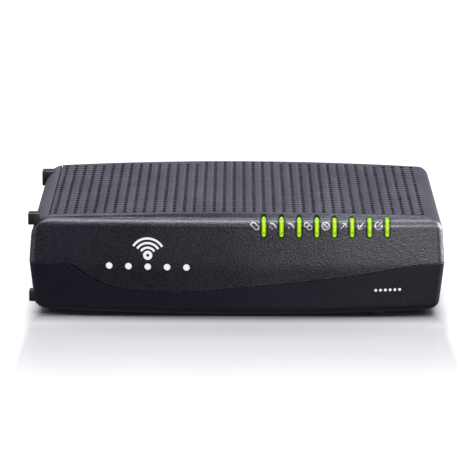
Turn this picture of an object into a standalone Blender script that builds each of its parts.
"""A telephony cable modem with a backup battery, as separate solid pieces.

Metres, +Z up. The front faces -Y and the sockets face +Y. The origin is on the table, under the middle
of the bounding box. The case is one drafted, bowed and crowned form, hollowed and split along a wavy line.
"""

import math

import bmesh
import bpy
from mathutils import Matrix, Vector

# Case: the outer form
HALF_WIDTH = 0.108  # at the parting line, where the case is widest
BASE_HALF_WIDTH = 0.1052
TOP_HALF_WIDTH = 0.106
FRONT_Y = -0.0685  # plane of the two front corners
REAR_Y = 0.0705
BOW = 0.011  # how far the middle of the front stands forward of its corners
BOW_HALF_WIDTH = 0.100
BASE_PULL = 0.0025  # draft of the front, below and above the parting line
TOP_PULL = 0.001
BASE_Z = 0.0022
PARTING_Z = 0.0277
TOP_FRONT_Z = 0.0555  # middle of the top, at the front and at the rear
TOP_REAR_Z = 0.0547
CROWN = 0.0041  # how far the top falls towards its sides, at the front and at the rear
CROWN_REAR = 0.0025
CROWN_HALF_WIDTH = 0.096
BROW_DROP = 0.0026  # how far the brow's top lies below the crowned top, in the middle
BROW_RISE = 0.0023  # how much less than that at the sides
BROW_STEP = 0.0014  # run of the step up from the brow to the perforated top
FORM_STATIONS = 14  # strips across the bow
WALL = 0.0024
GAP = 0.0003

# Case: radii of the outer form's edges
EDGE_RADII = {  # side: (at the base, at the top)
    "front": (0.0038, 0.004),
    "right": (0.005, 0.0055),
    "rear": (0.0015, 0.0015),
    "left": (0.005, 0.0095),
}
FRONT_CORNER_R = 0.0035
REAR_CORNER_R = 0.0015
LEAST_R = 0.0008
EDGE_SEGMENTS = 3
REAR_RUN = 0.020  # how far the form runs past the rear before it is cut flush there
CLEAR = 0.012  # how far a cutter passes what it cuts

# Case: parting line on the front, from left to right
PARTING_POINTS = (
    (-0.086, PARTING_Z),
    (-0.077, 0.0220),
    (-0.065, 0.0166),
    (-0.050, 0.0145),
    (-0.036, 0.0142),
    (-0.015, 0.0153),
    (0.035, 0.0201),
    (0.060, 0.0226),
    (0.085, 0.0263),
    (0.094, PARTING_Z),
)
PARTING_STATIONS = 44

# Battery door: the left shoulder and the side under it
DOOR_EDGE_X = -0.0974
DOOR_FRONT_Y = FRONT_Y + 0.010
DOOR_UNDERCUT = 0.004  # how far the door's opening is cut past the parting line
DOOR_TONGUE_Y = (-0.046, 0.050)
DOOR_TONGUE_SIZE = (0.008, 0.010, 0.0015)
DOOR_TONGUE_REACH = 0.0045  # how far a tongue reaches under the top cover
DOOR_TONGUE_Z = 0.0466
DOOR_TONGUE_ROOT = (0.0015, 0.0004, 0.0032)  # back from the edge, up from the tongue, and up into the roof

# Vents in the top
VENT_COLUMNS = 38
VENT_PITCH = 0.00517
VENT_MIDDLE_X = 0.001
VENT_WIDTH = 0.0014
VENT_RUNS = 3
VENT_RIB = 0.004
VENT_FRONT_Y = -0.0672
VENT_REAR_Y = 0.0635
VENT_BOW = 0.012
VENT_CUT_Z = (0.044, 0.060)

# Indicators
LIGHT_COUNT = 8
LIGHT_FIRST_X = 0.0138
LIGHT_PITCH = 0.00911
LENS_WIDTH = 0.0027
LENS_LOW_Z = 0.0437
LENS_TOP_DEPTH = 0.0045  # how far the lens runs back over the brow
LENS_THICKNESS = 0.0035
LENS_SLOT_DEPTH = 0.0090
LENS_PROUD = 0.010  # how far the uncut lens stands out of the brow
STEM_SIZE = (0.0020, 0.0024)
STEM_SETBACK = 0.0050
STEM_TOP_Z = 0.0500
LED_SIZE = (0.0016, 0.0020, 0.0010)

# Feet
FOOT_R = 0.005
FOOT_X = 0.073
FOOT_Y = (FRONT_Y + 0.010, 0.058)
FOOT_POCKET = 0.0012
FOOT_EDGE = 0.0006
STAND_FOOT_X = -0.1083
STAND_FOOT_INNER_X = -0.1015
STAND_FOOT_BEVEL = 0.0006
STAND_FEET = {  # name: (low y, high y, low z, high z)
    "stand_foot_front_upper": (FRONT_Y + 0.0025, FRONT_Y + 0.0083, 0.0472, 0.0535),
    "stand_foot_front_lower": (FRONT_Y + 0.0045, FRONT_Y + 0.0105, 0.0060, 0.0119),
    "stand_foot_rear_upper": (0.0575, 0.0650, 0.0428, 0.0512),
    "stand_foot_rear_lower": (0.0575, 0.0635, 0.0060, 0.0119),
}

# Main board and its screws
BOARD_Z = 0.0090
BOARD_THICKNESS = 0.0016
BOARD_TOP = BOARD_Z + BOARD_THICKNESS
BOARD_INSET = 0.0040
BOARD_HALF_X = 0.0975
BOARD_REAR_Y = 0.0645
ON_BOARD = BOARD_TOP + GAP
CASE_SCREWS = ((-0.088, -0.048), (0.088, -0.048), (-0.088, 0.054), (0.088, 0.054))
PAD_R = 0.005
BOSS_R = 0.003
SCREW_R = 0.0013
SCREW_HEAD_R = 0.0027
COUNTERBORE_R = 0.0031
COUNTERBORE_TOP = 0.0054
BOSS_TOP = 0.0508
BOSS_HOLE_TOP = 0.018
POST_FOOT_Z = 0.0034
STANDOFF_HOLE_Z = 0.0047
CASE_SCREW_Z = (0.0034, 0.0160)  # head, tip
CASE_SCREW_HEAD = 0.0017
RECESS_SIZE = (0.0030, 0.0008)
RECESS_Z = (0.0022, 0.0042)
BOARD_SCREWS = ((0.010, -0.055), (0.052, 0.030))
BOARD_SCREW_TOP = 0.0126
BOARD_SCREW_HEAD = 0.0015
BOARD_SCREW_SHANK = 0.0043
BOARD_SCREW_TIP = 0.0010

# Label underneath
LABEL_HALF = (0.038, 0.023)
LABEL_THICKNESS = 0.0002
LABEL_RECESS = 0.0005

# Rear panel and what comes through it
PANEL_Y = (0.0670, 0.0690)
ETHERNET_X = 0.020
ETHERNET_SIZE = (0.0162, 0.0180, 0.0134)
ETHERNET_SOCKET = (0.0118, 0.0125, 0.0070)
ETHERNET_LATCH = (0.0060, 0.0028)
PHONE_X = (0.060, 0.078)
PHONE_SIZE = (0.0134, 0.0165, 0.0122)
PHONE_SOCKET = (0.0098, 0.0115, 0.0066)
PHONE_LATCH = (0.0036, 0.0024)
JACK_FACE_Y = 0.0698
JACK_ROOF = 0.0016
LATCH_OVERLAP = 0.0005
ETHERNET_SPRINGS = (8, 0.00102)  # count, pitch
PHONE_SPRINGS = (4, 0.00127)
SPRING_LENGTH = 0.0075
SPRING_Z = (0.0013, 0.0008)  # its underside and top, under the socket's roof
COMB_SIZE = (0.0010, 0.0022)  # depth, height
COAX_X = -0.014
COAX_Z = 0.0200
COAX_R = 0.00476
COAX_TIP_Y = 0.0795
COAX_INSULATOR_R = 0.0026
COAX_PIN_R = 0.0006
COAX_EDGE = 0.0005
COAX_FLANGE = (0.0016, 0.0050)  # wider than the thread, and long
COAX_MOUTH = 0.0012  # how far the insulator stands back from the tip
NUT_R = 0.0073
NUT_THICKNESS = 0.0024
SHIELD_SIZE = (0.034, 0.042, 0.0150)
SHIELD_REAR_Y = 0.0615
SHIELD_BEVEL = 0.0008
INLET_X = -0.070
INLET_FACE_Y = 0.0700
INLET_SIZE = (0.0230, 0.0190, 0.0165)
INLET_MOUTH = (0.0152, 0.0084)
INLET_DEPTH = 0.0125
INLET_PIN_R = 0.0012
INLET_PIN_SPACING = 0.0086
INLET_PIN_SETBACK = 0.0030
RESET_X = 0.040
RESET_Z = 0.0158
RESET_R = 0.0013
RESET_HOLE_R = 0.0017
RESET_FACE_Y = 0.0680
RESET_COLLAR_Y = (0.0600, 0.0614)
RESET_COLLAR_R = 0.0020
SWITCH_Y = 0.0560
SWITCH_SIZE = (0.0060, 0.0060, 0.0075)

# Processor, memory and mains supply
CHIP_MIDDLE = (0.030, -0.022)
CHIP_SIZE = (0.023, 0.023, 0.0016)
SINK_SIZE = (0.034, 0.034, 0.0025)
FIN_COUNT = 7
FIN_THICKNESS = 0.0012
FIN_EDGE = (0.0006, 0.0004)  # in from the base's edge, across and along the fins
FIN_Z = (0.001, 0.014)
MEMORY_MIDDLE = (0.064, -0.022)
MEMORY_SIZE = (0.014, 0.010, 0.0012)
COIL_MIDDLE = (-0.042, 0.012)
COIL_SIZE = (0.021, 0.018, 0.0200)
COIL_BEVEL = 0.0010
CORE_HALF = (0.007, 0.012)
CORE_Z = (0.002, 0.018)
CAPACITOR_PLACES = ((-0.048, -0.016), (-0.034, -0.016))
CAPACITOR_R = 0.0055
CAPACITOR_HEIGHT = 0.018
CAPACITOR_EDGE = 0.0008

# Battery and its bay
BAY_LOW = Vector((-0.0990, -0.0330, 0.0264))
BAY_HIGH = Vector((-0.0560, 0.0430, 0.0468))
BAY_WALL = Vector((0.0022, 0.0020, 0.0014))
BAY_FLOOR = 0.0020
BATTERY_CLEARANCE = 0.0004
BATTERY_BEVEL = 0.0015
PACK_SETBACK = 0.0006  # from the bay's mouth, and from the contacts
CONTACT_SIZE = (0.0015, 0.0160, 0.0080)
CONTACT_TOP_Z = 0.0400
BLADE_Y = (-0.0045, 0.0, 0.0045)
BLADE_HALF_WIDTH = 0.0010
BLADE_PROUD = 0.0006
BLADE_ROOT = 0.0004
BLADE_END = 0.001
SLIDE_Z = 0.040

SMOOTH_ANGLE = math.radians(35)
ROUND_STEPS = 20
POST_STEPS = 12
SLOT_STEPS = 16


# ---------------------------------------------------------------- scene and materials


def clear_scene():
    for obj in list(bpy.data.objects):
        bpy.data.objects.remove(obj, do_unlink=True)


def new_collection(name):
    collection = bpy.data.collections.new(name)
    bpy.context.scene.collection.children.link(collection)
    return collection


def new_material(name, colour, roughness, metallic=0.0):
    material = bpy.data.materials.new(name)
    material.use_nodes = True
    shader = material.node_tree.nodes["Principled BSDF"]
    shader.inputs["Base Color"].default_value = (*colour, 1.0)
    shader.inputs["Roughness"].default_value = roughness
    shader.inputs["Metallic"].default_value = metallic
    material.diffuse_color = (*colour, 1.0)
    return material


clear_scene()
MODEM = new_collection("cable_modem")
CUTTERS = new_collection("cutters")
CASE_PLASTIC = new_material("case_plastic", (0.045, 0.044, 0.052), 0.45)
PANEL_PLASTIC = new_material("panel_plastic", (0.030, 0.030, 0.034), 0.50)
RESET_PLASTIC = new_material("reset_plastic", (0.300, 0.045, 0.035), 0.45)
FOOT_RUBBER = new_material("foot_rubber", (0.015, 0.015, 0.016), 0.85)
FOOT_PLASTIC = new_material("foot_plastic", (0.014, 0.014, 0.016), 0.55)
LENS_GREEN = new_material("lens_green", (0.35, 0.90, 0.04), 0.25)
LED_WHITE = new_material("led_white", (0.85, 0.85, 0.70), 0.40)
BOARD_GREEN = new_material("board_green", (0.02, 0.16, 0.06), 0.45)
BOARD_TIN = new_material("board_tin", (0.62, 0.62, 0.60), 0.35, 1.0)
NICKEL = new_material("nickel", (0.70, 0.68, 0.62), 0.25, 1.0)
SOCKET_PLASTIC = new_material("socket_plastic", (0.020, 0.020, 0.022), 0.40)
GOLD_CONTACT = new_material("gold_contact", (0.85, 0.62, 0.22), 0.30, 1.0)
CHIP_BLACK = new_material("chip_black", (0.018, 0.018, 0.020), 0.55)
ALUMINIUM = new_material("aluminium", (0.60, 0.61, 0.62), 0.40, 1.0)
INSULATOR_WHITE = new_material("insulator_white", (0.82, 0.82, 0.78), 0.50)
COIL_TAPE = new_material("coil_tape", (0.75, 0.60, 0.12), 0.50)
CAPACITOR_SLEEVE = new_material("capacitor_sleeve", (0.03, 0.04, 0.10), 0.35)
BATTERY_WRAP = new_material("battery_wrap", (0.10, 0.11, 0.14), 0.50)
LABEL_FILM = new_material("label_film", (0.78, 0.78, 0.76), 0.60)
SCREW_STEEL = new_material("screw_steel", (0.30, 0.30, 0.31), 0.40, 1.0)


# ---------------------------------------------------------------- shape helpers


def add_object(name, bm, material=None):
    """The mesh as an object: a visible piece with its material, or without one a hidden cutter."""
    mesh = bpy.data.meshes.new(name)
    bm.to_mesh(mesh)
    bm.free()
    return add_mesh_object(name, mesh, material)


def add_mesh_object(name, mesh, material=None):
    obj = bpy.data.objects.new(name, mesh)
    if material is None:
        CUTTERS.objects.link(obj)
        obj.hide_render = True
        obj.display_type = "WIRE"
    else:
        MODEM.objects.link(obj)
        mesh.materials.append(material)
    return obj


def add_blocks(bm, spans):
    """Adds a block for each (low corner, high corner) pair."""
    for low, high in spans:
        low = Vector(low)
        high = Vector(high)
        place = Matrix.Translation((low + high) / 2) @ Matrix.Diagonal((*(high - low), 1.0))
        bmesh.ops.create_cube(bm, size=1.0, matrix=place)


def block(name, low, high, material=None, bevel=0.0):
    """A block between two corners, with its origin at its middle."""
    low = Vector(low)
    high = Vector(high)
    half = (high - low) / 2
    bm = bmesh.new()
    add_blocks(bm, [(-half, half)])
    obj = add_object(name, bm, material)
    obj.location = (low + high) / 2
    if bevel:
        add_bevel(obj, bevel)
    return obj


def add_bevel(obj, width, segments=1):
    modifier = obj.modifiers.new("edges", "BEVEL")
    modifier.width = width
    modifier.segments = segments
    modifier.limit_method = "ANGLE"


def rod(name, radius, low, high, axis, material=None, steps=ROUND_STEPS):
    """A plain cylinder from low to high, along Z or Y."""
    low = Vector(low)
    high = Vector(high)
    bm = bmesh.new()
    bmesh.ops.create_cone(
        bm, cap_ends=True, segments=steps, radius1=radius, radius2=radius, depth=(high - low).length
    )
    obj = add_object(name, bm, material)
    obj.location = (low + high) / 2
    if axis == "Y":
        obj.rotation_euler.x = math.radians(90)
    shade_round(obj)
    return obj


def shade_round(obj):
    obj.data.shade_smooth()
    obj.data.set_sharp_from_angle(angle=SMOOTH_ANGLE)


def turned(name, profile, location, material=None, along_y=False, steps=ROUND_STEPS, closed=False):
    """A turned piece. The profile is (radius, height) pairs, down the outer side from top to bottom."""
    bm = bmesh.new()
    points = [bm.verts.new((radius, 0.0, height)) for radius, height in profile]
    for first, second in zip(points, points[1:]):
        bm.edges.new((first, second))
    if closed:
        bm.edges.new((points[-1], points[0]))
    obj = add_object(name, bm, material)
    obj.location = location
    if along_y:
        obj.rotation_euler.x = math.radians(-90)
    screw = obj.modifiers.new("turn", "SCREW")
    screw.steps = steps
    screw.render_steps = steps
    screw.use_merge_vertices = True
    screw.merge_threshold = 1e-6
    screw.use_smooth_shade = True
    return obj


def boolean(obj, others, operation):
    """One Boolean with all the others at once."""
    name = f"{obj.name}_{operation.lower()}_{len(obj.modifiers)}"
    group = bpy.data.collections.new(name)
    for other in others:
        group.objects.link(other)
    modifier = obj.modifiers.new(name, "BOOLEAN")
    modifier.operation = operation
    modifier.operand_type = "COLLECTION"
    modifier.collection = group


def cut(obj, *cutters):
    boolean(obj, cutters, "DIFFERENCE")


def join(obj, *others):
    boolean(obj, others, "UNION")


def keep_inside(obj, other):
    modifier = obj.modifiers.new(f"inside_{other.name}", "BOOLEAN")
    modifier.operation = "INTERSECT"
    modifier.object = other


def stadium(name, width, length, depth, material=None):
    """A slot-shaped prism with round ends, long in Y and extruded along Z about the origin."""
    bm = bmesh.new()
    bmesh.ops.create_cone(
        bm, cap_ends=True, segments=SLOT_STEPS, radius1=width / 2, radius2=width / 2, depth=depth
    )
    bmesh.ops.rotate(bm, verts=bm.verts, matrix=Matrix.Rotation(math.pi / SLOT_STEPS, 3, "Z"))
    for vert in bm.verts:
        vert.co.y += math.copysign((length - width) / 2, vert.co.y)
    return add_object(name, bm, material)


# ---------------------------------------------------------------- the case's form


def front_y(x):
    """The bowed front at the parting line."""
    return FRONT_Y - BOW * (1 - (x / BOW_HALF_WIDTH) ** 2)


def top_z(x, y):
    """The crowned top, which falls a little and flattens towards the rear."""
    along = (y - FRONT_Y + BOW) / (REAR_Y - FRONT_Y + BOW)
    fall = between(CROWN, CROWN_REAR, along) * (x / CROWN_HALF_WIDTH) ** 2
    return between(TOP_FRONT_Z, TOP_REAR_Z, along) - fall


def brow_drop(x):
    """How far the brow lies below the crowned top, which is least at the sides."""
    return max(BROW_DROP - BROW_RISE * (x / CROWN_HALF_WIDTH) ** 2, 0.0)


def parting_z(x):
    """Height of the parting line: a smooth curve through its points, flat past both ends."""
    points = PARTING_POINTS
    if x <= points[0][0] or x >= points[-1][0]:
        return PARTING_Z
    slopes = [0.0]
    for before, after in zip(points, points[2:]):
        slopes.append((after[1] - before[1]) / (after[0] - before[0]))
    slopes.append(0.0)
    i = max(k for k, point in enumerate(points) if point[0] <= x)
    (x0, z0), (x1, z1) = points[i], points[i + 1]
    span = x1 - x0
    t = (x - x0) / span
    rise = t * t * (3 - 2 * t)
    start = t * (1 - t) ** 2 * span * slopes[i]
    end = t * t * (t - 1) * span * slopes[i + 1]
    return z0 + (z1 - z0) * rise + start + end


def between(low, high, share):
    return low + (high - low) * share


def side_reach(z):
    """Half width of the case at a height: it is drafted both ways from the parting line."""
    if z < PARTING_Z:
        return between(BASE_HALF_WIDTH, HALF_WIDTH, (z - BASE_Z) / (PARTING_Z - BASE_Z))
    return between(HALF_WIDTH, TOP_HALF_WIDTH, (z - PARTING_Z) / (TOP_FRONT_Z - PARTING_Z))


def front_pull(z):
    """How far the front stands back from its bow at the parting line, at a height."""
    if z < PARTING_Z:
        return between(BASE_PULL, 0.0, (z - BASE_Z) / (PARTING_Z - BASE_Z))
    return between(0.0, TOP_PULL, (z - PARTING_Z) / (TOP_FRONT_Z - PARTING_Z))


def plan_ring(left, right, pull, rear, front_r, rear_r):
    """(x, y, lean) round the case, anticlockwise. Lean maps each side to its share in the point."""
    points = []
    for i in range(FORM_STATIONS + 1):
        x = between(left + front_r, right - front_r, i / FORM_STATIONS)
        points.append((x, front_y(x) + pull, {"front": 1.0}))
    for i in range(1, EDGE_SEGMENTS + 1):
        turn = math.pi / 2 * i / EDGE_SEGMENTS
        x = right - front_r + front_r * math.sin(turn)
        y = front_y(x) + pull + front_r * (1 - math.cos(turn))
        share = i / EDGE_SEGMENTS
        points.append((x, y, {"front": 1 - share, "right": share}))
    for i in range(EDGE_SEGMENTS):
        turn = math.pi / 2 * i / EDGE_SEGMENTS
        share = i / EDGE_SEGMENTS
        x = right - rear_r + rear_r * math.cos(turn)
        y = rear - rear_r + rear_r * math.sin(turn)
        points.append((x, y, {"right": 1 - share, "rear": share}))
    for i in range(FORM_STATIONS + 1):
        x = between(right - rear_r, left + rear_r, i / FORM_STATIONS)
        points.append((x, rear, {"rear": 1.0}))
    for i in range(1, EDGE_SEGMENTS + 1):
        turn = math.pi / 2 * i / EDGE_SEGMENTS
        share = i / EDGE_SEGMENTS
        x = left + rear_r - rear_r * math.sin(turn)
        y = rear - rear_r + rear_r * math.cos(turn)
        points.append((x, y, {"rear": 1 - share, "left": share}))
    for i in range(EDGE_SEGMENTS):
        turn = math.pi / 2 * i / EDGE_SEGMENTS
        share = i / EDGE_SEGMENTS
        x = left + front_r - front_r * math.cos(turn)
        y = front_y(x) + pull + front_r * (1 - math.sin(turn))
        points.append((x, y, {"left": 1 - share, "front": share}))
    return points


def form_ring(turn, upper, inset, rear, past=0.0):
    """One ring of the form, where the roll of its lower or upper edge has turned this far from upright.

    The upper rings lie below the top along the brow, except for the one that lies past the roll.
    """
    steps_in = {}
    off_end = {}
    for side, radii in EDGE_RADII.items():
        radius = max(radii[upper] - inset, LEAST_R)
        steps_in[side] = inset + radius * (1 - math.cos(turn))
        off_end[side] = radius * (1 - math.sin(turn))
    heights = {side: BASE_Z + inset + off for side, off in off_end.items()}
    if upper:
        heights = {side: TOP_FRONT_Z - CROWN - off for side, off in off_end.items()}
    ring = plan_ring(
        -side_reach(heights["left"]) + steps_in["left"] + past / 2,
        side_reach(heights["right"]) - steps_in["right"] - past / 2,
        front_pull(heights["front"]) + steps_in["front"] + past,
        rear - (steps_in["rear"] - inset) - past / 2,
        max(FRONT_CORNER_R - inset, LEAST_R),
        REAR_CORNER_R,
    )
    points = []
    for x, y, lean in ring:
        off = sum(share * off_end[side] for side, share in lean.items())
        if upper and not past:
            off += brow_drop(x) * lean.get("front", 0.0)
        z = top_z(x, y) - inset - off if upper else BASE_Z + inset + off
        points.append((x, y, z))
    return points


def parting_ring(inset, rear):
    reach = HALF_WIDTH - inset
    corner = max(FRONT_CORNER_R - inset, LEAST_R)
    return [(x, y, PARTING_Z) for x, y, _ in plan_ring(-reach, reach, inset, rear, corner, REAR_CORNER_R)]


def case_form(name, inset=0.0, rear=REAR_Y, material=None):
    """The closed form of the case as a loft, pulled in by inset on every side but the rear."""
    quarter = [math.pi / 2 * i / EDGE_SEGMENTS for i in range(EDGE_SEGMENTS + 1)]
    rings = [form_ring(turn, False, inset, rear) for turn in reversed(quarter)]
    rings.append(parting_ring(inset, rear))
    rings += [form_ring(turn, True, inset, rear) for turn in quarter]
    rings.append(form_ring(quarter[-1], True, inset, rear, past=BROW_STEP))
    bm = bmesh.new()
    loops = [[bm.verts.new(point) for point in ring] for ring in rings]
    count = len(loops[0])
    for low, high in zip(loops, loops[1:]):
        for i in range(count):
            k = (i + 1) % count
            bm.faces.new((low[i], low[k], high[k], high[i]))
    bm.faces.new(reversed(loops[0]))
    cap_crown(bm, loops[-1])
    bmesh.ops.triangulate(bm, faces=bm.faces[:])
    return add_object(name, bm, material)


def cap_crown(bm, loop):
    """Closes the crowned top with strips from front to rear and a face at each end."""
    last = FORM_STATIONS
    rear_first = last + 2 * EDGE_SEGMENTS + 1
    for i in range(last):
        k = rear_first + last - i
        bm.faces.new((loop[i], loop[i + 1], loop[k - 1], loop[k]))
    bm.faces.new(loop[last : rear_first + 1])
    bm.faces.new(loop[rear_first + last :] + [loop[0]])


def parting_block(name, offset, far_z):
    """A block round the whole case with one wavy face, at the parting line plus offset, and one at far_z."""
    bm = bmesh.new()
    bmesh.ops.create_grid(bm, x_segments=PARTING_STATIONS, y_segments=1, size=1.0)
    for vert in bm.verts:
        x = vert.co.x * (HALF_WIDTH + CLEAR)
        y = vert.co.y * (REAR_Y + REAR_RUN + CLEAR)
        vert.co = Vector((x, y, parting_z(x) + offset))
    extruded = bmesh.ops.extrude_face_region(bm, geom=bm.faces[:])
    for item in extruded["geom"]:
        if isinstance(item, bmesh.types.BMVert):
            item.co.z = far_z
    bmesh.ops.recalc_face_normals(bm, faces=bm.faces[:])
    return add_object(name, bm)


# ---------------------------------------------------------------- cutters shared by several pieces


SIDE = HALF_WIDTH + CLEAR
ABOVE = TOP_REAR_Z + CLEAR
BEHIND = REAR_Y + REAR_RUN + CLEAR
HOLLOW = case_form("hollow", inset=WALL, rear=BEHIND)
BELOW_PARTING = parting_block("below_parting", GAP / 2, -CLEAR)
ABOVE_PARTING = parting_block("above_parting", -GAP / 2, ABOVE)
PAST_REAR = block("past_rear", (-SIDE, REAR_Y, -CLEAR), (SIDE, BEHIND, ABOVE))
DOOR_LOW = Vector((-SIDE, DOOR_FRONT_Y, PARTING_Z + GAP / 2))
DOOR_HIGH = Vector((DOOR_EDGE_X, BEHIND, ABOVE))


def light_x(i):
    return LIGHT_FIRST_X + LIGHT_PITCH * i


def lens_prism(name, x, grow, inner, material=None):
    """A slot-shaped prism through the brow, tilted by 45 degrees, grown all round and going inner deep."""
    face = front_y(x) + TOP_PULL
    low = Vector((x, face, LENS_LOW_Z))
    high = Vector((x, face + LENS_TOP_DEPTH, top_z(x, face) - brow_drop(x)))
    slant = Vector((0.0, 1.0, 1.0)).normalized()
    outward = Vector((0.0, -1.0, 1.0)).normalized()
    length = (high - low).dot(slant) + 2 * grow
    prism = stadium(name, LENS_WIDTH + 2 * grow, length, inner + LENS_PROUD, material)
    prism.location = (low + high) / 2 + outward * (LENS_PROUD - inner) / 2
    prism.rotation_euler.x = math.radians(45)
    return prism


def vent_slots():
    """Narrow slots in columns, each column in a few runs with ribs between them."""
    spans = []
    for i in range(VENT_COLUMNS):
        x = VENT_MIDDLE_X + VENT_PITCH * (i - (VENT_COLUMNS - 1) / 2)
        start = VENT_FRONT_Y + VENT_BOW * (x / CROWN_HALF_WIDTH) ** 2
        run = (VENT_REAR_Y - start + VENT_RIB) / VENT_RUNS
        for k in range(VENT_RUNS):
            low = (x - VENT_WIDTH / 2, start + run * k, VENT_CUT_Z[0])
            high = (x + VENT_WIDTH / 2, start + run * (k + 1) - VENT_RIB, VENT_CUT_Z[1])
            spans.append((low, high))
    bm = bmesh.new()
    add_blocks(bm, spans)
    return add_object("vent_slots", bm)


def stand_foot_span(name, grow=0.0):
    low_y, high_y, low_z, high_z = STAND_FEET[name]
    low = (STAND_FOOT_X - grow, low_y - grow, low_z - grow)
    high = (STAND_FOOT_INNER_X + 5 * grow, high_y + grow, high_z + grow)
    return low, high


def stand_foot_pocket(name):
    return block(f"{name}_pocket", *stand_foot_span(name, GAP))


# ---------------------------------------------------------------- case pieces


def outer_form(name):
    """The case's form as a piece, still uncut. It runs past the rear, where PAST_REAR cuts it flush."""
    return case_form(name, rear=REAR_Y + REAR_RUN, material=CASE_PLASTIC)


def make_top_cover():
    cover = outer_form("top_cover")
    cut(cover, HOLLOW)
    opening = block("door_opening", DOOR_LOW - Vector((0.0, 0.0, DOOR_UNDERCUT)), DOOR_HIGH)
    cutters = [BELOW_PARTING, PAST_REAR, opening, stand_foot_pocket("stand_foot_front_upper")]
    for i in range(LIGHT_COUNT):
        cutters.append(lens_prism(f"lens_slot_{i + 1}", light_x(i), GAP, LENS_SLOT_DEPTH))
    cut(cover, *cutters, vent_slots())
    bosses = []
    holes = []
    for i, (x, y) in enumerate(CASE_SCREWS):
        bosses.append(post(f"boss_{i + 1}", BOSS_R, x, y, BOARD_Z, BOSS_TOP))
        holes.append(post(f"boss_hole_{i + 1}", SCREW_R + GAP, x, y, 0.0, BOSS_HOLE_TOP))
    join(cover, *bosses)
    cut(cover, *holes)


def post(name, radius, x, y, low, high, steps=POST_STEPS):
    return rod(name, radius, (x, y, low), (x, y, high), "Z", steps=steps)


def make_bottom_case():
    case = outer_form("bottom_case")
    cut(case, HOLLOW)
    half_x, half_y = LABEL_HALF
    recess_high = (half_x + LABEL_RECESS, half_y + LABEL_RECESS, BASE_Z + LABEL_RECESS)
    posts = []
    cutters = [
        ABOVE_PARTING,
        PAST_REAR,
        stand_foot_pocket("stand_foot_front_lower"),
        stand_foot_pocket("stand_foot_rear_lower"),
        block("label_recess", (-recess_high[0], -recess_high[1], 0.0), recess_high),
    ]
    top = BOARD_Z - GAP
    through = BOARD_TOP + CLEAR
    for i, (x, y) in enumerate(CASE_SCREWS):
        posts.append(post(f"pad_{i + 1}", PAD_R, x, y, POST_FOOT_Z, top, steps=SLOT_STEPS))
        bore = post(f"counterbore_{i + 1}", COUNTERBORE_R, x, y, 0.0, COUNTERBORE_TOP, steps=ROUND_STEPS)
        cutters.append(bore)
        cutters.append(post(f"pad_hole_{i + 1}", SCREW_R + GAP, x, y, 0.0, through))
    for i, (x, y) in enumerate(BOARD_SCREWS):
        posts.append(post(f"standoff_{i + 1}", BOSS_R, x, y, POST_FOOT_Z, top))
        cutters.append(post(f"standoff_hole_{i + 1}", SCREW_R, x, y, STANDOFF_HOLE_Z, through))
    pocket_top = BASE_Z + FOOT_POCKET
    for i, (x, y) in enumerate(foot_places()):
        pocket = post(f"foot_pocket_{i + 1}", FOOT_R + GAP, x, y, 0.0, pocket_top, steps=ROUND_STEPS)
        cutters.append(pocket)
    join(case, *posts)
    cut(case, *cutters)


def make_battery_door():
    """The left shoulder and side as one cover, with two tongues that reach under the top cover."""
    door = outer_form("battery_door")
    cut(door, HOLLOW)
    low = DOOR_LOW + Vector((0.0, GAP, GAP))
    high = DOOR_HIGH - Vector((GAP, 0.0, 0.0))
    keep_inside(door, block("door_region", low, high))
    cut(door, PAST_REAR, stand_foot_pocket("stand_foot_rear_upper"))
    length, width, thickness = DOOR_TONGUE_SIZE
    back, up, roof = DOOR_TONGUE_ROOT
    tip = DOOR_EDGE_X + DOOR_TONGUE_REACH
    bottom = DOOR_TONGUE_Z
    for i, y in enumerate(DOOR_TONGUE_Y):
        left = (tip - length, y - width / 2, bottom)
        right = (tip, y + width / 2, bottom + thickness)
        join(door, block(f"door_tongue_{i + 1}", left, right))
        left = (tip - length, y - width / 2, bottom + up)
        right = (DOOR_EDGE_X - back, y + width / 2, bottom + roof)
        join(door, block(f"door_tongue_root_{i + 1}", left, right))
    return door


def make_rear_panel():
    """The plate across the open rear of the case, with a cut-out for each socket."""
    low = (-SIDE, PANEL_Y[0], -CLEAR)
    panel = block("rear_panel", low, (SIDE, PANEL_Y[1], ABOVE), PANEL_PLASTIC)
    keep_inside(panel, case_form("panel_outline", inset=WALL + GAP, rear=BEHIND))
    near = PANEL_Y[0] - CLEAR
    far = PANEL_Y[1] + CLEAR
    for name, x, size in socket_boxes():
        low = (x - size[0] / 2 - GAP, near, ON_BOARD - GAP)
        high = (x + size[0] / 2 + GAP, far, ON_BOARD + size[2] + GAP)
        cut(panel, block(f"{name}_cutout", low, high))
    cut(panel, rod("coax_cutout", COAX_R + GAP, (COAX_X, near, COAX_Z), (COAX_X, far, COAX_Z), "Y"))
    cut(panel, rod("reset_hole", RESET_HOLE_R, (RESET_X, near, RESET_Z), (RESET_X, far, RESET_Z), "Y"))


def socket_boxes():
    boxes = [("ethernet_jack", ETHERNET_X, ETHERNET_SIZE), ("power_inlet", INLET_X, INLET_SIZE)]
    for i, x in enumerate(PHONE_X):
        boxes.append((f"phone_jack_{i + 1}", x, PHONE_SIZE))
    return boxes


def make_rating_label():
    half_x, half_y = LABEL_HALF
    high = (half_x, half_y, BASE_Z + LABEL_THICKNESS)
    block("rating_label", (-half_x, -half_y, BASE_Z), high, LABEL_FILM)


# ---------------------------------------------------------------- feet and screws


def foot_places():
    return [(x, y) for y in FOOT_Y for x in (-FOOT_X, FOOT_X)]


def make_rubber_feet():
    top = BASE_Z + FOOT_POCKET - GAP
    profile = ((0.0, top), (FOOT_R, top), (FOOT_R, FOOT_EDGE), (FOOT_R - FOOT_EDGE, 0.0), (0.0, 0.0))
    for i, (x, y) in enumerate(foot_places()):
        turned(f"rubber_foot_{i + 1}", profile, (x, y, 0.0), FOOT_RUBBER)


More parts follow.
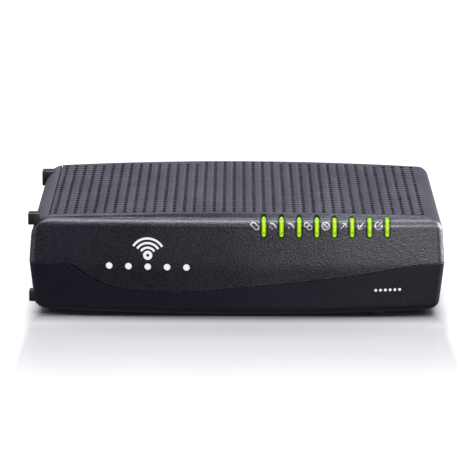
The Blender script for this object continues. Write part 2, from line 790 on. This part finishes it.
def make_stand_feet():
    for name in STAND_FEET:
        low, high = stand_foot_span(name)
        block(name, low, high, FOOT_PLASTIC, STAND_FOOT_BEVEL)


def screw_profile(tip_z, head_z, head_height, shank_r):
    """A round-headed screw, from its head at the bottom to its tip at the top."""
    return (
        (0.0, tip_z),
        (shank_r * 0.5, tip_z),
        (shank_r, tip_z - shank_r),
        (shank_r, head_z + head_height),
        (SCREW_HEAD_R, head_z + head_height),
        (SCREW_HEAD_R, head_z + head_height * 0.4),
        (SCREW_HEAD_R * 0.75, head_z),
        (0.0, head_z),
    )


def cross_recess(name, x, y):
    """A cutter for the cross in a screw's head."""
    long, short = RECESS_SIZE
    low, high = RECESS_Z
    arm = block(f"{name}_arm", (x - short / 2, y - long / 2, low), (x + short / 2, y + long / 2, high))
    cross = block(name, (x - long / 2, y - short / 2, low), (x + long / 2, y + short / 2, high))
    join(cross, arm)
    return cross


def make_case_screws():
    head, tip = CASE_SCREW_Z
    profile = screw_profile(tip, head, CASE_SCREW_HEAD, SCREW_R)
    for i, (x, y) in enumerate(CASE_SCREWS):
        screw = turned(f"case_screw_{i + 1}", profile, (x, y, 0.0), SCREW_STEEL, steps=SLOT_STEPS)
        cut(screw, cross_recess(f"case_screw_recess_{i + 1}", x, y))


def make_board_screws():
    tip = BOARD_SCREW_HEAD + BOARD_SCREW_SHANK + BOARD_SCREW_TIP
    profile = screw_profile(tip, 0.0, BOARD_SCREW_HEAD, SCREW_R - GAP)
    for i, (x, y) in enumerate(BOARD_SCREWS):
        place = (x, y, BOARD_SCREW_TOP)
        screw = turned(f"board_screw_{i + 1}", profile, place, SCREW_STEEL, steps=POST_STEPS)
        screw.rotation_euler.x = math.radians(180)


# ---------------------------------------------------------------- main board and what stands on it


def make_main_board():
    board = block(
        "main_board",
        (-BOARD_HALF_X, FRONT_Y - BOW - CLEAR, BOARD_Z),
        (BOARD_HALF_X, BOARD_REAR_Y, BOARD_TOP),
        BOARD_GREEN,
    )
    keep_inside(board, case_form("board_outline", inset=BOARD_INSET, rear=BEHIND))
    holes = []
    through = BOARD_TOP + CLEAR
    for i, (x, y) in enumerate(CASE_SCREWS):
        holes.append(post(f"board_boss_hole_{i + 1}", BOSS_R + GAP, x, y, 0.0, through))
    for i, (x, y) in enumerate(BOARD_SCREWS):
        holes.append(post(f"board_hole_{i + 1}", SCREW_R + GAP, x, y, 0.0, through))
    cut(board, *holes)


def make_lights():
    """Each light is a lens in the brow with a stem down to a lamp on the board."""
    flush = case_form("lens_face")
    for i in range(LIGHT_COUNT):
        x = light_x(i)
        pipe = lens_prism(f"light_pipe_{i + 1}", x, 0.0, LENS_THICKNESS, LENS_GREEN)
        keep_inside(pipe, flush)
        y = front_y(x) + TOP_PULL + STEM_SETBACK
        half_x, half_y = STEM_SIZE[0] / 2, STEM_SIZE[1] / 2
        led_top = ON_BOARD + LED_SIZE[2]
        low = (x - half_x, y - half_y, led_top + GAP)
        join(pipe, block(f"light_stem_{i + 1}", low, (x + half_x, y + half_y, STEM_TOP_Z)))
        half = Vector(LED_SIZE) / 2
        middle = Vector((x, y, ON_BOARD + half.z))
        block(f"led_{i + 1}", middle - half, middle + half, LED_WHITE)


def standing_box(name, middle, size, material, bevel=0.0):
    """A box on the board, centred on middle (x, y)."""
    x, y = middle
    low = (x - size[0] / 2, y - size[1] / 2, ON_BOARD)
    high = (x + size[0] / 2, y + size[1] / 2, ON_BOARD + size[2])
    return block(name, low, high, material, bevel)


def make_jack(name, x, size, socket, latch):
    """A modular jack with its mouth to the rear and the slot for the plug's latch below."""
    jack = standing_box(name, (x, JACK_FACE_Y - size[1] / 2), size, SOCKET_PLASTIC)
    width, depth, height = socket
    top = ON_BOARD + size[2] - JACK_ROOF
    mouth = JACK_FACE_Y - depth
    out = JACK_FACE_Y + CLEAR
    low = (x - width / 2, mouth, top - height)
    cut(jack, block(f"{name}_socket", low, (x + width / 2, out, top)))
    low = (x - latch[0] / 2, mouth, top - height - latch[1])
    cut(jack, block(f"{name}_latch", low, (x + latch[0] / 2, out, top - height + LATCH_OVERLAP)))
    return Vector((x, mouth + GAP, top))


def make_contacts(name, root, springs):
    """A comb of spring contacts that lie under the roof of a jack's socket."""
    count, pitch = springs
    x, y, top = root
    depth, height = COMB_SIZE
    half = pitch * count / 2
    comb = block(name, (x - half, y, top - height), (x + half, y + depth, top - GAP), GOLD_CONTACT)
    spans = []
    for i in range(count):
        middle = x + pitch * (i - (count - 1) / 2)
        low = (middle - pitch / 4, y + depth / 2, top - SPRING_Z[0])
        high = (middle + pitch / 4, y + SPRING_LENGTH, top - SPRING_Z[1])
        spans.append((low, high))
    bm = bmesh.new()
    add_blocks(bm, spans)
    join(comb, add_object(f"{name}_springs", bm))


def make_jacks():
    root = make_jack("ethernet_jack", ETHERNET_X, ETHERNET_SIZE, ETHERNET_SOCKET, ETHERNET_LATCH)
    make_contacts("ethernet_contacts", root, ETHERNET_SPRINGS)
    for i, x in enumerate(PHONE_X):
        root = make_jack(f"phone_jack_{i + 1}", x, PHONE_SIZE, PHONE_SOCKET, PHONE_LATCH)
        make_contacts(f"phone_contacts_{i + 1}", root, PHONE_SPRINGS)


def make_coax():
    """The coaxial socket on the rear wall of the tuner's shield, with its nut and insulator."""
    middle = (COAX_X, SHIELD_REAR_Y - SHIELD_SIZE[1] / 2)
    standing_box("tuner_shield", middle, SHIELD_SIZE, BOARD_TIN, SHIELD_BEVEL)
    root = (COAX_X, SHIELD_REAR_Y + GAP, COAX_Z)
    length = COAX_TIP_Y - root[1]
    wall_r = COAX_INSULATOR_R + GAP
    flange_r = COAX_R + COAX_FLANGE[0]
    profile = (
        (COAX_R - COAX_EDGE, length),
        (COAX_R, length - COAX_EDGE),
        (COAX_R, COAX_FLANGE[1]),
        (flange_r, COAX_FLANGE[1]),
        (flange_r, 0.0),
        (wall_r, 0.0),
        (wall_r, length),
    )
    turned("f_connector", profile, root, NICKEL, along_y=True, steps=24, closed=True)
    mouth = length - COAX_MOUTH
    profile = (
        (COAX_INSULATOR_R, mouth),
        (COAX_INSULATOR_R, 0.0),
        (COAX_PIN_R, 0.0),
        (COAX_PIN_R, mouth),
    )
    turned("f_insulator", profile, root, INSULATOR_WHITE, along_y=True, steps=SLOT_STEPS, closed=True)
    low = Vector((COAX_X, PANEL_Y[1] + GAP, COAX_Z))
    thickness = Vector((0.0, NUT_THICKNESS, 0.0))
    past = Vector((0.0, CLEAR, 0.0))
    nut = rod("f_nut", NUT_R, low, low + thickness, "Y", NICKEL, steps=6)
    cut(nut, rod("f_nut_hole", COAX_R + GAP, low - past, low + thickness + past, "Y", steps=24))


def make_power_inlet():
    """A two-pin mains inlet with a rounded recess."""
    depth, height = INLET_SIZE[1:]
    inlet = standing_box("power_inlet", (INLET_X, INLET_FACE_Y - depth / 2), INLET_SIZE, SOCKET_PLASTIC)
    middle_z = ON_BOARD + height / 2
    floor_y = INLET_FACE_Y - INLET_DEPTH
    run = INLET_DEPTH + CLEAR
    recess = stadium("inlet_recess", INLET_MOUTH[1], INLET_MOUTH[0], run)
    recess.rotation_euler = (0.0, math.radians(90), math.radians(90))
    recess.location = (INLET_X, floor_y + run / 2, middle_z)
    cut(inlet, recess)
    for i, side in enumerate((-1, 1)):
        x = INLET_X + side * INLET_PIN_SPACING / 2
        start = (x, floor_y + GAP, middle_z)
        end = (x, INLET_FACE_Y - INLET_PIN_SETBACK, middle_z)
        rod(f"power_pin_{i + 1}", INLET_PIN_R, start, end, "Y", NICKEL, steps=POST_STEPS)


def make_reset():
    """The recessed button, which slides in towards the switch behind it."""
    rear, front = RESET_COLLAR_Y
    profile = (
        (0.0, RESET_FACE_Y),
        (RESET_R, RESET_FACE_Y),
        (RESET_R, front),
        (RESET_COLLAR_R, front),
        (RESET_COLLAR_R, rear),
        (0.0, rear),
    )
    place = (RESET_X, 0.0, RESET_Z)
    turned("reset_button", profile, place, RESET_PLASTIC, along_y=True, steps=SLOT_STEPS)
    standing_box("reset_switch", (RESET_X, SWITCH_Y), SWITCH_SIZE, CHIP_BLACK)


def make_processor():
    standing_box("main_chip", CHIP_MIDDLE, CHIP_SIZE, CHIP_BLACK)
    standing_box("memory_chip", MEMORY_MIDDLE, MEMORY_SIZE, CHIP_BLACK)
    base = Vector((*CHIP_MIDDLE, ON_BOARD + CHIP_SIZE[2] + GAP))
    half = Vector((SINK_SIZE[0] / 2, SINK_SIZE[1] / 2, 0.0))
    thickness = Vector((0.0, 0.0, SINK_SIZE[2]))
    sink = block("heat_sink", base - half, base + half + thickness, ALUMINIUM)
    first = base.x - half.x + FIN_EDGE[0]
    pitch = (SINK_SIZE[0] - 2 * FIN_EDGE[0] - FIN_THICKNESS) / (FIN_COUNT - 1)
    reach = half.y - FIN_EDGE[1]
    fins = []
    for i in range(FIN_COUNT):
        x = first + pitch * i
        low = (x, base.y - reach, base.z + FIN_Z[0])
        fins.append((low, (x + FIN_THICKNESS, base.y + reach, base.z + FIN_Z[1])))
    bm = bmesh.new()
    add_blocks(bm, fins)
    join(sink, add_object("heat_sink_fins", bm))


def make_mains_supply():
    coil = standing_box("transformer", COIL_MIDDLE, COIL_SIZE, COIL_TAPE, COIL_BEVEL)
    x, y = COIL_MIDDLE
    half_x, half_y = CORE_HALF
    low = (x - half_x, y - half_y, ON_BOARD + CORE_Z[0])
    high = (x + half_x, y + half_y, ON_BOARD + CORE_Z[1])
    join(coil, block("transformer_core", low, high))
    profile = (
        (0.0, CAPACITOR_HEIGHT),
        (CAPACITOR_R - CAPACITOR_EDGE, CAPACITOR_HEIGHT),
        (CAPACITOR_R, CAPACITOR_HEIGHT - CAPACITOR_EDGE),
        (CAPACITOR_R, 0.0),
        (0.0, 0.0),
    )
    for i, (x, y) in enumerate(CAPACITOR_PLACES):
        turned(f"bulk_capacitor_{i + 1}", profile, (x, y, ON_BOARD), CAPACITOR_SLEEVE)


# ---------------------------------------------------------------- backup battery


def make_battery():
    """A bay that opens at the left, the pack in it and the contacts at the bay's inner end."""
    bay = block("battery_bay", BAY_LOW, BAY_HIGH, PANEL_PLASTIC)
    inner_low = Vector((BAY_LOW.x, BAY_LOW.y + BAY_WALL.y, BAY_LOW.z + BAY_FLOOR))
    inner_high = BAY_HIGH - BAY_WALL
    cut(bay, block("battery_space", inner_low - Vector((CLEAR, 0.0, 0.0)), inner_high))
    high = Vector((inner_high.x - GAP, CONTACT_SIZE[1] / 2, CONTACT_TOP_Z))
    low = high - Vector(CONTACT_SIZE)
    contacts = block("battery_contacts", low, high, INSULATOR_WHITE)
    spans = []
    for y in BLADE_Y:
        left = (low.x - BLADE_PROUD, y - BLADE_HALF_WIDTH, low.z + BLADE_END)
        right = (low.x + BLADE_ROOT, y + BLADE_HALF_WIDTH, high.z - BLADE_END)
        spans.append((left, right))
    bm = bmesh.new()
    add_blocks(bm, spans)
    join(contacts, add_object("battery_contact_blades", bm))
    clear = Vector((0.0, BATTERY_CLEARANCE, BATTERY_CLEARANCE))
    pack_high = Vector((low.x - PACK_SETBACK - GAP, inner_high.y, inner_high.z)) - clear
    pack_low = inner_low + Vector((PACK_SETBACK, 0.0, 0.0)) + clear
    block("battery_pack", pack_low, pack_high, BATTERY_WRAP, BATTERY_BEVEL)


def hang_door_on_its_slide(door):
    """Parents the door and the stand foot on it to an empty on the line along which the door comes off."""
    slide = bpy.data.objects.new("battery_door_slide", None)
    MODEM.objects.link(slide)
    slide.location = (-HALF_WIDTH, 0.0, SLIDE_Z)
    for obj in (door, bpy.data.objects["stand_foot_rear_upper"]):
        obj.parent = slide
        obj.location -= slide.location


def build():
    make_top_cover()
    make_bottom_case()
    door = make_battery_door()
    make_rear_panel()
    make_rating_label()
    make_rubber_feet()
    make_stand_feet()
    make_case_screws()
    make_board_screws()
    make_main_board()
    make_lights()
    make_jacks()
    make_coax()
    make_power_inlet()
    make_reset()
    make_processor()
    make_mains_supply()
    make_battery()
    hang_door_on_its_slide(door)


build()
